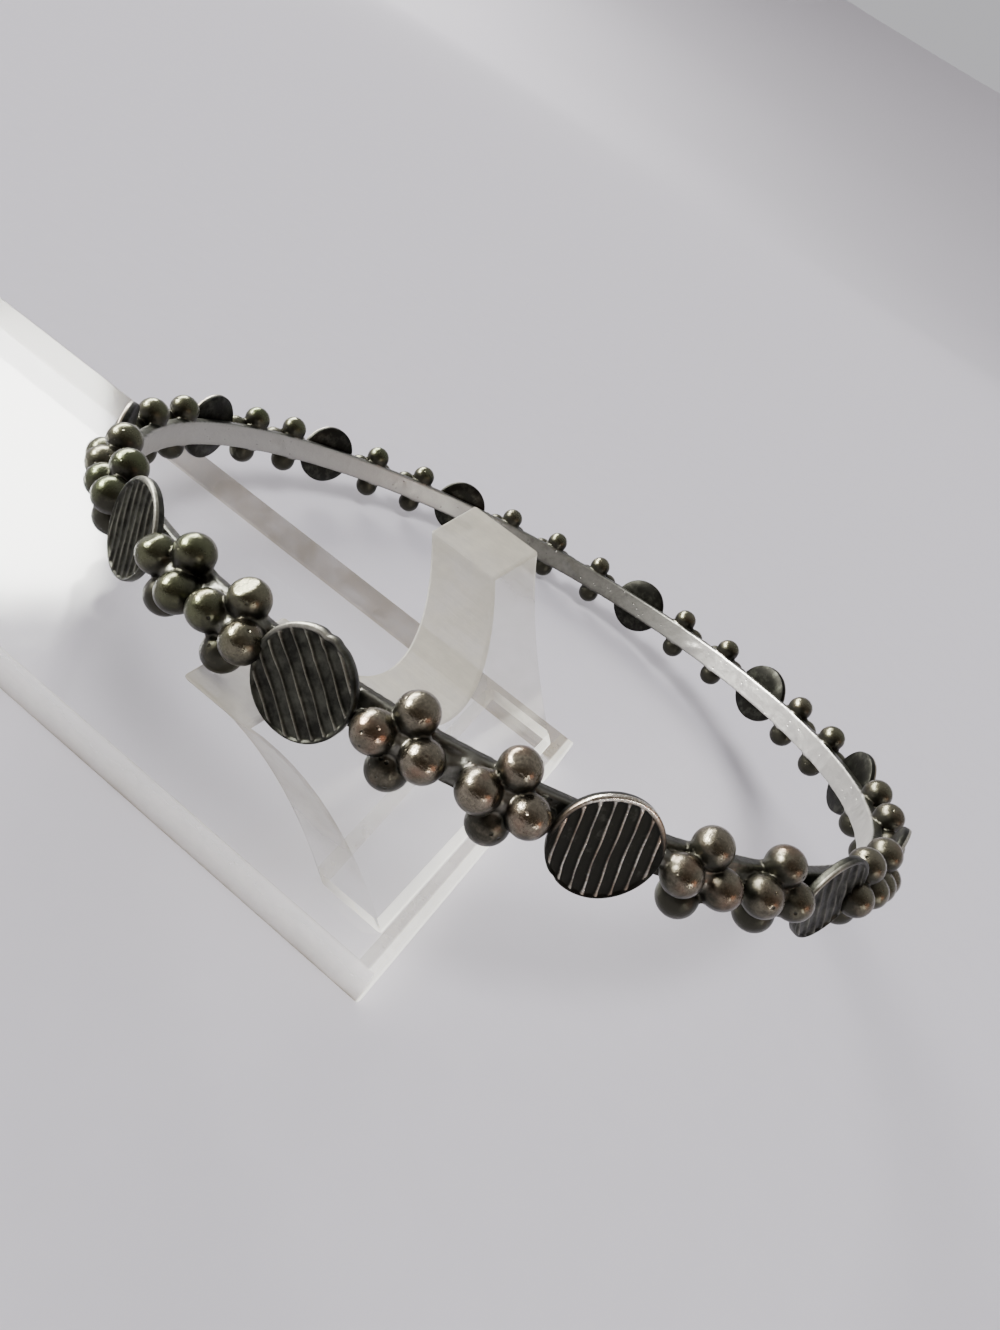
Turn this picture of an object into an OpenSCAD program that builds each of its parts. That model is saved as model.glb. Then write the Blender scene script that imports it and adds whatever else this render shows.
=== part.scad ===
// Beaded bangle of oxidised silver, resting on a clear acrylic display stand.
// Millimetres, Z up. The origin is on the table, under the middle of the whole outline.

/* [Hoop] */
// Outer radius of the flat hoop
hoop_r = 33; // [31:0.5:35]
// Thickness of the hoop's band
hoop_t = 0.9; // [0.7:0.1:1.2]
// Height of the hoop's band
hoop_h = 2.2; // [1.8:0.1:2.8]
// Rounding of the band's corners
hoop_round = 0.2; // [0.1:0.05:0.3]

/* [Balls] */
// Diameter of a ball
ball_d = 2.42; // [2.3:0.02:2.6]
// Distance of the left and right balls from the middle of their cluster
ball_side = 1.4; // [1.2:0.05:1.5]
// Height of the top and bottom balls above and below the hoop's middle
ball_rise = 1.68; // [1.5:0.02:1.8]
// How far the left and right balls' centres stand outside the hoop's face
ball_out = 1.09; // [0.9:0.01:1.15]
// How far the top and bottom balls' centres stand outside the hoop's face
edge_ball_out = 0.3; // [0:0.05:0.6]

/* [Discs] */
// Diameter of a disc
disc_d = 6.2; // [5.6:0.1:6.6]
// Height of a disc's ground above the hoop's face
disc_out = 0.85; // [0.6:0.05:1.2]
// Thickness of a disc's plate under its ribs
disc_t = 0.4; // [0.3:0.05:0.6]
// Diameter of the round seat that joins a disc's plate to the hoop
seat_d = 2.8; // [2:0.1:3.4]
// How far the seat is let into the hoop's face
seat_in = 0.3; // [0.2:0.05:0.5]
// Height of the ribs and the rim above a disc's ground
rib_h = 0.2; // [0.1:0.05:0.4]
// Width of a rib
rib_w = 0.3; // [0.2:0.05:0.4]
// Distance from rib to rib
rib_pitch = 0.74; // [0.6:0.02:0.9]
// Number of ribs on a disc
rib_count = 8; // [5:1:9]
// Width of a disc's rim
rim_w = 0.28; // [0.2:0.02:0.5]

/* [Stand] */
// Length of the base strip
base_len = 90; // [80:5:120]
// Width of the base strip
base_w = 33; // [32:1:40]
// Thickness of the base strip
base_t = 3; // [2:0.5:4]
// How far the strip runs past the middle of the bangle
base_past = 10; // [9:0.5:12]
// Height of the prongs' tops above the table
cradle_h = 14.6; // [12:0.05:14.8]
// Thickness of the cradle along the strip, at its middle
cradle_t = 5.8; // [5:0.1:7.3]
// How far the cradle's back face turns, which makes the near prong the thinner one
cradle_taper = 4; // [0:0.5:5]
// Lean of the cradle back over the strip, from upright
cradle_lean = 44; // [35:1:44]
// Width of the cradle where it stands on the strip
cradle_foot_w = 28; // [24:0.5:29]
// Width of the cradle across its prongs
cradle_top_w = 39; // [37:0.5:39.6]
// Distance from the strip's end to the cradle's front
cradle_inset = 1.4; // [1:0.1:2]
// Width of the notch between the prongs at the top
notch_w = 20.6; // [16:0.2:22]
// Depth of the notch
notch_depth = 5.3; // [4:0.1:6]

/* [Pose] */
// Lean of the bangle from lying flat
ring_tilt = 13.9; // [13:0.1:15]
// Direction of the bangle's low side on the table, from the strip's long direction
low_side = 113.4; // [110:0.2:117]
// Place on the bangle that lies lowest
low_station = 89.5; // [86:0.5:93]
// Distance of the cradle's middle from the bangle's middle, across the strip
cradle_off = 14.6; // [14:0.1:15]

/* [Hidden] */
$fn = 64;
ball_r = ball_d / 2;
disc_r = disc_d / 2;

// One row for each disc round the hoop: its angle, how far its ribs turn to the left of upright,
// how many clusters of balls follow it, and the turns of the first and of the later clusters.
ANGLE = 0; RIB_TURN = 1; CLUSTERS = 2; TURN_A = 3; TURN_B = 4;
DISCS = [
    [ 25.7,  70, 2,   4,  -6],
    [ 57.4, -25, 3,  -5,   3],
    [ 99.9,  35, 2,   6,  -2],
    [130.4,  80, 2,  -3,   7],
    [158.8,  10, 2,   2,  -8],
    [189.0, -40, 2,   5,   4],
    [217.7,  16, 2, -17,  -4],
    [244.6,  47, 2,  -1,  -1],
    [273.9,  12, 2,  -3,   0],
    [303.9,  40, 2,   3,  -5],
    [327.0, -15, 2,  -4,   6],
    [355.8,  55, 2,   7,   2]];

// A cluster stands in the gap after its disc, the gap being shared out evenly.
function gap_after(i) = i + 1 < len(DISCS) ? DISCS[i + 1][ANGLE] - DISCS[i][ANGLE]
                                           : DISCS[0][ANGLE] + 360 - DISCS[i][ANGLE];
// One row for each cluster: its angle and its turn.
CLUSTER_ROWS = [for (i = [0 : len(DISCS) - 1]) for (k = [1 : DISCS[i][CLUSTERS]])
    [DISCS[i][ANGLE] + gap_after(i) * k / (DISCS[i][CLUSTERS] + 1), DISCS[i][k == 1 ? TURN_A : TURN_B]]];

// Place of a point that is along the hoop, above its middle and outside its face, at an angle round it
function on_hoop(angle, along, above, out) =
    [(hoop_r + out) * cos(angle) - along * sin(angle),
     (hoop_r + out) * sin(angle) + along * cos(angle), above];
// Place of a cluster's ball: x is along the hoop and z is above its middle, before the cluster turns
function ball_at(row, x, z, out) =
    on_hoop(row[0], x * cos(row[1]) - z * sin(row[1]), x * sin(row[1]) + z * cos(row[1]), out);
BALLS = [for (row = CLUSTER_ROWS) each [
    ball_at(row, -ball_side, 0, ball_out), ball_at(row, ball_side, 0, ball_out),
    ball_at(row, 0, ball_rise, edge_ball_out), ball_at(row, 0, -ball_rise, edge_ball_out)]];

// Turns of a direction about Z and about Y, and a table direction seen from the lying bangle
function turn_z(v, a) = [v.x * cos(a) - v.y * sin(a), v.x * sin(a) + v.y * cos(a), v.z];
function turn_y(v, a) = [v.x * cos(a) + v.z * sin(a), v.y, -v.x * sin(a) + v.z * cos(a)];
function from_bangle(v) = turn_z(turn_y(turn_z(v, -low_side), -ring_tilt), low_station);
// How far the balls and discs reach from the bangle's middle in a direction of the bangle's own
function ball_reach(d) = max([for (b = BALLS) b * d]) + ball_r;
function disc_reach(d) = max([for (row = DISCS) let (face = [cos(row[ANGLE]), sin(row[ANGLE]), 0])
    face * d * (hoop_r + disc_out + rib_h) + disc_r * sqrt(max(0, 1 - pow(face * d, 2)))]);
function reach(table_direction) = let (d = from_bangle(table_direction)) max(ball_reach(d), disc_reach(d));

// The bangle's middle, so that its lowest point is on the table and the origin is mid-outline
ring_lift = reach([0, 0, -1]);
ring_x = (base_len - base_past - reach([1, 0, 0])) / 2;
ring_y = (reach([0, -1, 0]) - reach([0, 1, 0])) / 2;
base_end = ring_x + base_past;
cradle_y = ring_y - cradle_off;

module rounded_band() {
    inner = hoop_r - hoop_t;
    translate([inner + hoop_round, -hoop_h / 2]) square([hoop_t - 2 * hoop_round, hoop_h]);
    translate([inner, -hoop_h / 2 + hoop_round]) square([hoop_t, hoop_h - 2 * hoop_round]);
    for (x = [inner + hoop_round, hoop_r - hoop_round], z = [-1, 1])
        translate([x, z * (hoop_h / 2 - hoop_round)]) circle(r = hoop_round);
}

module hoop() rotate_extrude($fn = 180) rounded_band();

// Fine raised ribs across a disc's ground, and its raised rim
module disc_relief(turn) {
    intersection() {
        cylinder(r = disc_r - rim_w / 2, h = rib_h);
        rotate([0, 0, turn]) for (i = [0 : rib_count - 1])
            translate([-disc_r, (i - (rib_count - 1) / 2) * rib_pitch - rib_w / 2, 0])
                cube([disc_d, rib_w, rib_h]);
    }
    difference() {
        cylinder(r = disc_r, h = rib_h);
        translate([0, 0, -rib_h]) cylinder(r = disc_r - rim_w, h = 3 * rib_h);
    }
}

module disc(row) rotate([0, 0, row[ANGLE]]) translate([hoop_r, 0, 0]) rotate([0, 90, 0]) {
    translate([0, 0, -seat_in]) cylinder(d = seat_d, h = seat_in + disc_out);
    translate([0, 0, disc_out - disc_t]) cylinder(r = disc_r, h = disc_t);
    translate([0, 0, disc_out]) disc_relief(row[RIB_TURN]);
}

module bangle() color("dimgray")
    translate([ring_x, ring_y, ring_lift])
        rotate([0, 0, low_side]) rotate([0, ring_tilt, 0]) rotate([0, 0, -low_station]) {
            hoop();
            for (row = DISCS) disc(row);
            for (b = BALLS) translate(b) sphere(r = ball_r);
        }

module stand_base() color("aliceblue")
    translate([base_end - base_len, cradle_y - base_w / 2, 0]) cube([base_len, base_w, base_t]);

// Outline of the cradle seen along the strip: sides that flare up to the prongs, and the round notch
module cradle_outline() {
    rise = cradle_h - base_t;
    flare = (cradle_top_w - cradle_foot_w) / 2;
    flare_r = (flare * flare + rise * rise) / (2 * flare);
    notch_r = (pow(notch_w / 2, 2) + notch_depth * notch_depth) / (2 * notch_depth);
    difference() {
        translate([-cradle_top_w / 2, 0]) square([cradle_top_w, rise]);
        for (s = [-1, 1]) translate([s * (cradle_foot_w / 2 + flare_r), 0]) circle(r = flare_r, $fn = 180);
        translate([0, rise - notch_depth + notch_r]) circle(r = notch_r, $fn = 180);
    }
}

// A prism across the strip, from a row of points that are along the strip and above it
module across_strip(profile) translate([0, cradle_top_w, 0]) rotate([90, 0, 0])
    linear_extrude(2 * cradle_top_w) polygon(profile);

module stand_cradle() color("whitesmoke")
    translate([base_end - cradle_inset, cradle_y, base_t]) intersection() {
        rise = cradle_h - base_t;
        back = rise * tan(cradle_lean);
        deep = back + 2 * cradle_t;
        translate([-deep, 0, 0]) rotate([90, 0, 90]) linear_extrude(deep) cradle_outline();
        across_strip([[0, 0], [-back, rise], [-2 * deep, rise], [-2 * deep, 0]]);
        rotate([0, 0, cradle_taper])
            across_strip([[-cradle_t, 0], [-back - cradle_t, rise], [deep, rise], [deep, 0]]);
    }

bangle();
stand_base();
stand_cradle();
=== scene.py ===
# %% [markdown]
# # A beaded silver bangle on a clear stand
# The bangle is a flat hoop with twelve ribbed discs and twenty-five clusters of four balls soldered on it.
# It leans on a notched block of clear acrylic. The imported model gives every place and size; this lesson
# gives the metal its solder, dents, tarnish and wear, and the acrylic its polish and saw marks.

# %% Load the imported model
import math

import bmesh
import bpy
import numpy as np
from mathutils import Matrix, Vector


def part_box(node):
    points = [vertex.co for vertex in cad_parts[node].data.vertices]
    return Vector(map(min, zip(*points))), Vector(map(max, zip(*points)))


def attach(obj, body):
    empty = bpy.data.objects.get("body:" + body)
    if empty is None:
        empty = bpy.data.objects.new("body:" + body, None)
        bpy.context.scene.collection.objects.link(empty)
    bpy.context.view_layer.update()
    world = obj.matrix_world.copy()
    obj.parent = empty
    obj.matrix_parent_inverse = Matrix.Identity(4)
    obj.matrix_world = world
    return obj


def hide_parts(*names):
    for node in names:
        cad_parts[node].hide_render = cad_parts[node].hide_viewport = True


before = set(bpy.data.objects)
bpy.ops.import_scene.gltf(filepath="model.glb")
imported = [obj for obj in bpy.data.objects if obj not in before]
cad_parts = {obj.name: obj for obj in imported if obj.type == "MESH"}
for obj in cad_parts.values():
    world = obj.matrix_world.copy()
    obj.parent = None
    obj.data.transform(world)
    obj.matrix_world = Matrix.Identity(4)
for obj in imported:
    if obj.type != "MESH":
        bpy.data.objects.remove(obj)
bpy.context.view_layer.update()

MM = 0.001
print("nodes:", sorted(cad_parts))

# %% [markdown]
# ## Where the bangle lies
# The bangle is modelled lying flat about its own middle, in millimetres, because round things are
# simplest there. One matrix then leans it on the stand. Its angles are those of the model's source, and
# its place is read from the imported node's own box, so that it can't drift from the solid.

# %% The bangle's sizes and its rows of discs
HOOP_R, HOOP_T, HOOP_H, HOOP_ROUND = 33.0, 0.9, 2.2, 0.2
BALL_R, BALL_SIDE, BALL_RISE, BALL_OUT, EDGE_BALL_OUT = 1.21, 1.4, 1.68, 1.09, 0.3
DISC_R, DISC_OUT, DISC_T, RIB_H = 3.1, 0.85, 0.4, 0.2
RING_TILT, LOW_SIDE, LOW_STATION = 13.9, 113.4, 89.5

# angle, turn of the ribs, clusters after it, turn of the first cluster, turn of the later ones
DISC_ROWS = [
    (25.7, 70, 2, 4, -6), (57.4, -25, 3, -5, 3), (99.9, 35, 2, 6, -2), (130.4, 80, 2, -3, 7),
    (158.8, 10, 2, 2, -8), (189.0, -40, 2, 5, 4), (217.7, 16, 2, -17, -4), (244.6, 47, 2, -1, -1),
    (273.9, 12, 2, -3, 0), (303.9, 40, 2, 3, -5), (327.0, -15, 2, -4, 6), (355.8, 55, 2, 7, 2)]


def cluster_rows():
    """Angle and turn of each cluster: the clusters share out the gap after their disc."""
    rows = []
    for i, (angle, _, count, turn_a, turn_b) in enumerate(DISC_ROWS):
        gap = (DISC_ROWS[(i + 1) % len(DISC_ROWS)][0] - angle) % 360
        rows += [(angle + gap * k / (count + 1), turn_a if k == 1 else turn_b) for k in range(1, count + 1)]
    return rows


def on_hoop(angle, along, above, out):
    """A point along the hoop, above its middle and outside its face, at an angle round it."""
    a = math.radians(angle)
    r = HOOP_R + out
    return [r * math.cos(a) - along * math.sin(a), r * math.sin(a) + along * math.cos(a), above]


def cluster_ball(angle, turn, x, z, out):
    """A ball of a cluster that is turned about the line from the hoop's middle."""
    t = math.radians(turn)
    return on_hoop(angle, x * math.cos(t) - z * math.sin(t), x * math.sin(t) + z * math.cos(t), out)


CLUSTERS = cluster_rows()
BALLS = np.array([cluster_ball(angle, turn, *place) for angle, turn in CLUSTERS for place in (
    (-BALL_SIDE, 0, BALL_OUT), (BALL_SIDE, 0, BALL_OUT),
    (0, BALL_RISE, EDGE_BALL_OUT), (0, -BALL_RISE, EDGE_BALL_OUT))])
print("clusters:", len(CLUSTERS), "balls:", len(BALLS))

# %% The matrix that leans the bangle on its stand
LEAN = (Matrix.Rotation(math.radians(LOW_SIDE), 3, "Z") @ Matrix.Rotation(math.radians(RING_TILT), 3, "Y")
        @ Matrix.Rotation(math.radians(-LOW_STATION), 3, "Z"))


def reach(direction):
    """How far the balls and discs reach from the bangle's middle in a direction of the table."""
    d = np.array(LEAN.transposed() @ Vector(direction))
    reaches = [float((BALLS @ d).max()) + BALL_R]
    for row in DISC_ROWS:
        a = math.radians(row[0])
        facing = d[0] * math.cos(a) + d[1] * math.sin(a)
        reaches.append(facing * (HOOP_R + DISC_OUT + RIB_H) + DISC_R * math.sqrt(max(0, 1 - facing ** 2)))
    return max(reaches)


node_low, node_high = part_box("bangle")
RING_MIDDLE = Vector((node_high.x / MM - reach((1, 0, 0)), node_high.y / MM - reach((0, 1, 0)),
                      node_low.z / MM + reach((0, 0, -1))))
PLACE = Matrix.Translation(RING_MIDDLE) @ LEAN.to_4x4()
print("middle of the bangle, mm:", [round(v, 2) for v in RING_MIDDLE])

# %% [markdown]
# ## The camera
# The photograph was taken very close, from above, and with the camera rolled. The camera's place is given
# from the bangle's middle, and its three axes as directions, which is how they were found from the
# photograph's straight edges. A small shift stands for the crop of the picture.

# %% The camera
PHOTO_W, PHOTO_H = 1000, 1330
FOCAL_PX = 877
AXIS_ROW = 643
CAMERA_FROM_RING = Vector((12.325, -65.128, 35.113))
CAMERA_RIGHT = Vector((0.78293, 0.42165, 0.45742))
CAMERA_UP = Vector((-0.60018, 0.31847, 0.73373))
SENSOR_MM = 36

camera_data = bpy.data.cameras.new("camera")
camera_data.sensor_width = camera_data.sensor_height = SENSOR_MM
camera_data.lens = SENSOR_MM * FOCAL_PX / PHOTO_H
camera_data.shift_y = (AXIS_ROW - PHOTO_H / 2) / PHOTO_H
camera_data.clip_start = 0.002
camera_data.clip_end = 20
camera = bpy.data.objects.new("camera", camera_data)
bpy.context.collection.objects.link(camera)
camera_axes = Matrix((CAMERA_RIGHT, CAMERA_UP, CAMERA_RIGHT.cross(CAMERA_UP))).transposed()
camera.matrix_world = Matrix.Translation((RING_MIDDLE + CAMERA_FROM_RING) * MM) @ camera_axes.to_4x4()
bpy.context.scene.camera = camera
print("lens, mm:", round(camera_data.lens, 2))

# %% [markdown]
# ## One mesh maker
# Every piece is worked out as arrays of points and faces. This helper turns them into an object that
# rides with the model, and keeps each named number of a point, such as how worn it is, for its finish.

# %% Make a piece from points and faces
def mesh_from(name, points, faces):
    """A mesh of points and faces."""
    mesh = bpy.data.meshes.new(name)
    mesh.from_pydata([tuple(p) for p in points], [], [tuple(f) for f in faces])
    mesh.update()
    return mesh


def piece_from(mesh, name, node, finishes, numbers=None, smooth=True):
    """An object that rides with the model and stands for one of its nodes."""
    obj = bpy.data.objects.new(name, mesh)
    bpy.context.collection.objects.link(obj)
    for finish in finishes:
        mesh.materials.append(finish)
    for key, values in (numbers or {}).items():
        mesh.attributes.new(key, "FLOAT", "POINT").data.foreach_set("value", np.asarray(values, "f"))
    if smooth:
        mesh.shade_smooth()
    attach(obj, "root")
    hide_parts(node)
    triangles = sum(len(p.vertices) - 2 for p in mesh.polygons)
    print(name, "triangles:", triangles)
    return obj

# %% [markdown]
# ## Nodes as sums
# A finish is a web of nodes. Written as Python sums it stays readable: this class holds one output of a
# node, and a plus or a times between two of them adds the Math node that does it.

# %% Write shader sums in Python
# Places of sockets on their nodes: the factor, two colours and result of a colour Mix node, two outputs of
# the Texture Coordinate node, and the factor of the Attribute node
MIX_FACTOR, MIX_A, MIX_B, MIX_COLOUR_OUT = 0, 6, 7, 2
GENERATED_OUT, OBJECT_OUT, FACTOR_OUT = 0, 3, 2
# The share of a dot's radius that is wholly 1
DOTS_CORE = 0.35


class Wire:
    """An output of a node, which can be used in sums."""

    def __init__(self, socket):
        self.socket = socket

    def _sum(self, operation, first, second, clamp=False):
        """The Math node that does one operation on two wires or numbers."""
        settings = {"operation": operation, "use_clamp": clamp}
        return Finish.of(self.socket.id_data).node("ShaderNodeMath", settings, {0: first, 1: second})

    def __add__(self, other):
        return self._sum("ADD", self, other)

    def __radd__(self, other):
        return self._sum("ADD", other, self)

    def __sub__(self, other):
        return self._sum("SUBTRACT", self, other)

    def __rsub__(self, other):
        return self._sum("SUBTRACT", other, self)

    def __mul__(self, other):
        return self._sum("MULTIPLY", self, other)

    def __rmul__(self, other):
        return self._sum("MULTIPLY", other, self)

    def __truediv__(self, other):
        return self._sum("DIVIDE", self, other)

    def __rtruediv__(self, other):
        return self._sum("DIVIDE", other, self)

    def clamped(self):
        """The same number, held between 0 and 1."""
        return self._sum("ADD", self, 0.0, clamp=True)

    def over(self, low, high):
        """From 0 at low to 1 at high, held between them."""
        return ((self - low) / (high - low)).clamped()


class Finish:
    """A material or a world that is built from nodes."""

    trees = {}

    def __init__(self, owner, output="ShaderNodeOutputMaterial"):
        owner.use_nodes = True
        self.owner, self.tree = owner, owner.node_tree
        self.tree.nodes.clear()
        self.output = self.tree.nodes.new(output)
        Finish.trees[self.tree] = self

    @staticmethod
    def of(tree):
        """The finish that a tree of nodes belongs to."""
        return Finish.trees[tree]

    def node(self, kind, settings=None, sockets=None, out=0):
        """Adds a node: its settings first, then the values or wires of its sockets."""
        made = self.tree.nodes.new(kind)
        for key, value in (settings or {}).items():
            setattr(made, key, value)
        for key, value in (sockets or {}).items():
            if isinstance(value, Wire):
                self.tree.links.new(value.socket, made.inputs[key])
            else:
                made.inputs[key].default_value = value
        return Wire(made.outputs[out])

    def mix(self, share, first, second):
        """A colour between two colours."""
        sockets = {MIX_FACTOR: share, MIX_A: first, MIX_B: second}
        return self.node("ShaderNodeMix", {"data_type": "RGBA"}, sockets, out=MIX_COLOUR_OUT)

    def noise(self, where, size_mm, detail=3.0, roughness=0.5):
        """Cloudy noise whose patches are about this size."""
        return self.node("ShaderNodeTexNoise", None, {
            "Vector": where, "Scale": 1 / (size_mm * MM), "Detail": detail, "Roughness": roughness})

    def dots(self, where, apart_mm, radius_mm):
        """Round dots at uneven places, 1 in their middles."""
        away = self.node("ShaderNodeTexVoronoi", {"feature": "F1"},
                         {"Vector": where, "Scale": 1 / (apart_mm * MM)})
        return 1 - away.over(DOTS_CORE * radius_mm / apart_mm, radius_mm / apart_mm)

    def number(self, name):
        """A number that the mesh holds for each of its points."""
        return self.node("ShaderNodeAttribute", {"attribute_name": name}, out=FACTOR_OUT)

    def place(self):
        """The point's own place in the model, in metres."""
        return self.node("ShaderNodeTexCoord", out=OBJECT_OUT)

    def bump(self, height, depth_mm, strength=1.0, under=None):
        """Relief of this depth, on top of another relief where there is one."""
        sockets = {"Height": height, "Distance": depth_mm * MM, "Strength": strength}
        if under is not None:
            sockets["Normal"] = under
        return self.node("ShaderNodeBump", None, sockets)

    def done(self, surface):
        """Joins the surface to the output and gives back the finished material or world."""
        self.tree.links.new(surface.socket, self.output.inputs["Surface"])
        return self.owner


print("shader helpers ready")

# %% [markdown]
# ## Oxidised silver
# The real silver was dipped dark and then rubbed: the hollows stay nearly black, the proud places are
# worn to a warm satin grey, the left side has turned olive, and the hoop's inside is worn pale. Painted
# shade darkens what faces down, the hoop's top and part of its inner face, and a painted sheen lightens
# the hoop's side.
# Blender's own Pointiness could find the hollows, but it changes with the size of the faces. So the mesh
# tells the finish how much each point is hollow, proud, inside, under, green, flat band or top, and the
# finish clouds those answers with noise and pits before it picks the tone.

# %% The silver of the hoop, the balls and the solder
# Tones of the rubbed metal, of its two tarnishes, of the hoop's side with a painted sheen and of its top
# in painted shade, of the black that stays in the hollows, and of the worn inner face
RUBBED_DULL, RUBBED_BRIGHT = (0.140, 0.121, 0.090, 1), (0.35, 0.305, 0.235, 1)
OLIVE_TARNISH, COPPER_TARNISH = (0.088, 0.102, 0.052, 1), (0.20, 0.105, 0.065, 1)
SIDE_SHEEN_DULL, SIDE_SHEEN_BRIGHT = (0.16, 0.163, 0.14, 1), (0.46, 0.465, 0.41, 1)
HOOP_TOP_SHADE, HOLLOW_BLACK, INNER_FACE = (0.048, 0.050, 0.042, 1), (0.038, 0.037, 0.028, 1), (0.80, 0.79, 0.73, 1)


def silver_finish():
    """Black in the hollows and grey where it is proud, with clouds of olive and copper, and pits."""
    f = Finish(bpy.data.materials.new("oxidised silver"))
    where = f.place()
    hollow, proud, inside = f.number("hollow"), f.number("proud"), f.number("inside")
    under, band, green = f.number("under"), f.number("band"), f.number("green")
    top = f.number("top")
    clouds = f.noise(where, 0.9, 4, 0.65)
    grain = f.noise(where, 0.15, 3, 0.65)
    pits = f.dots(where, 0.72, 0.12) * f.noise(where, 1.6, 1).over(0.42, 0.54)
    olive = (f.noise(where, 5.0, 2).over(0.30, 0.70) * 0.6 + 0.5) * green
    copper = f.noise(where, 1.7, 2).over(0.52, 0.68) * (1 - green)
    # The black of the hollows, wear and tarnish, with painted shade on what faces down
    oxide_and_shade = (hollow * (0.85 - band * 0.6) + (0.62 - proud) * (0.8 - band * 0.7) + (clouds - 0.5) * 1.6
             + pits * 0.8 + under * 0.8 + green * 0.18).clamped()
    rubbed = f.mix((grain - 0.3) * 1.6, RUBBED_DULL, RUBBED_BRIGHT)
    rubbed = f.mix(olive * 0.95, rubbed, OLIVE_TARNISH)
    rubbed = f.mix(copper * 0.6, rubbed, COPPER_TARNISH)
    # The hoop's side gets a painted sheen, and its top painted shade
    side = f.mix(clouds, SIDE_SHEEN_DULL, SIDE_SHEEN_BRIGHT)
    rubbed = f.mix(band * 0.9, rubbed, f.mix(top, side, HOOP_TOP_SHADE))
    tone = f.mix(oxide_and_shade, rubbed, HOLLOW_BLACK)
    # The inner face, worn pale, with painted shade where the rows dim it
    tone = f.mix(inside * (0.65 + clouds * 0.5), tone, INNER_FACE)
    surface = f.node("ShaderNodeBsdfPrincipled", None, {
        "Base Color": tone,
        "Metallic": 1.0,
        "Roughness": 0.225 + oxide_and_shade * 0.16 + band * 0.12 + (grain - 0.5) * 0.12,
        "Normal": f.bump(pits, -0.07, 1.0, f.bump(grain, 0.013, 0.6, f.bump(clouds, 0.075, 0.7)))})
    return f.done(surface)


SILVER = silver_finish()
print("finish:", SILVER.name)

# %% The silver of the ribbed discs
# Tones of the ground between ribs, of crests on discs that are dull, and of crests on discs that shine
GROUND_BLACK, GROUND_GREY = (0.018, 0.018, 0.015, 1), (0.078, 0.080, 0.064, 1)
DULL_LOW, DULL_HIGH = (0.14, 0.14, 0.115, 1), (0.32, 0.32, 0.27, 1)
SHINE_LOW, SHINE_HIGH = (0.40, 0.355, 0.275, 1), (0.98, 0.95, 0.86, 1)
SHINE_BROWN = (0.30, 0.215, 0.145, 1)


def ribbed_finish():
    """Bright crests and rims over a ground that holds the black."""
    f = Finish(bpy.data.materials.new("ribbed silver"))
    where = f.place()
    crest, shine = f.number("crest"), f.number("shine")
    clouds = f.noise(where, 0.9, 4, 0.65)
    grain = f.noise(where, 0.13, 3, 0.6)
    brown = f.noise(where, 2.4, 2).over(0.46, 0.62)
    worn = (crest * crest * 1.5 + (clouds - 0.5) * 0.75 * crest - 0.12).clamped()
    ground = f.mix(clouds.over(0.35, 0.75) - shine * 0.6, GROUND_BLACK, GROUND_GREY)
    dull = f.mix(grain, DULL_LOW, DULL_HIGH)
    bright = f.mix((grain - 0.4) * 2.8, SHINE_LOW, SHINE_HIGH)
    bright = f.mix(brown * 0.75, bright, SHINE_BROWN)
    surface = f.node("ShaderNodeBsdfPrincipled", None, {
        "Base Color": f.mix(worn, ground, f.mix(shine, dull, bright)),
        "Metallic": 1.0,
        "Roughness": 0.46 - worn * shine * 0.22 + (grain - 0.5) * 0.14,
        "Normal": f.bump(grain, 0.014, 0.8, f.bump(clouds, 0.06, 0.5))})
    return f.done(surface)


RIBBED = ribbed_finish()
print("finish:", RIBBED.name)

# %% [markdown]
# ## The soldered body
# Hoop, balls and solder run into each other in soft hollows. Two spheres that only cross show a hard line
# there, so this body is made as a field: each ball, the hoop and each drop of solder gives its distance,
# and a soft minimum joins them. A voxel remesh of plain balls gives the faces, and then every point is
# moved onto the field, which makes the balls truly round and the joints filleted.

# %% The drops of solder
# Drops lie in the middle of a cluster, spilt beside it, between two close clusters, on a disc's seat and at a
# disc's two sides. Each kind has a distance outside the hoop's face and a radius; two radii are the ends of
# a random draw.
CLUSTER_OUT, SPILT_OUT, BETWEEN_OUT, SEAT_OUT, SIDE_OUT = 0.5, 0.1, -0.25, -0.05, 0.3
CLUSTER_DROP_R, SPILT_R, BETWEEN_R, SEAT_R, SIDE_R = 0.82, 0.75, (0.55, 0.72), 0.72, (0.5, 0.62)
# How far a drop may stray along the hoop or above its middle, and where the drops of one kind lie
SPILT_ALONG, SPILT_UP, BETWEEN_UP, SIDE_UP = 0.9, 0.6, (-0.4, 0.4), (-0.3, 0.5)
BETWEEN_SHARES, SEAT_ALONG, SIDE_ALONG = (0.38, 0.5, 0.62), (-0.8, 0, 0.8), (-3.3, 3.3)
CLOSE_CLUSTERS_DEG = 11
rng = np.random.default_rng(7)


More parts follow.
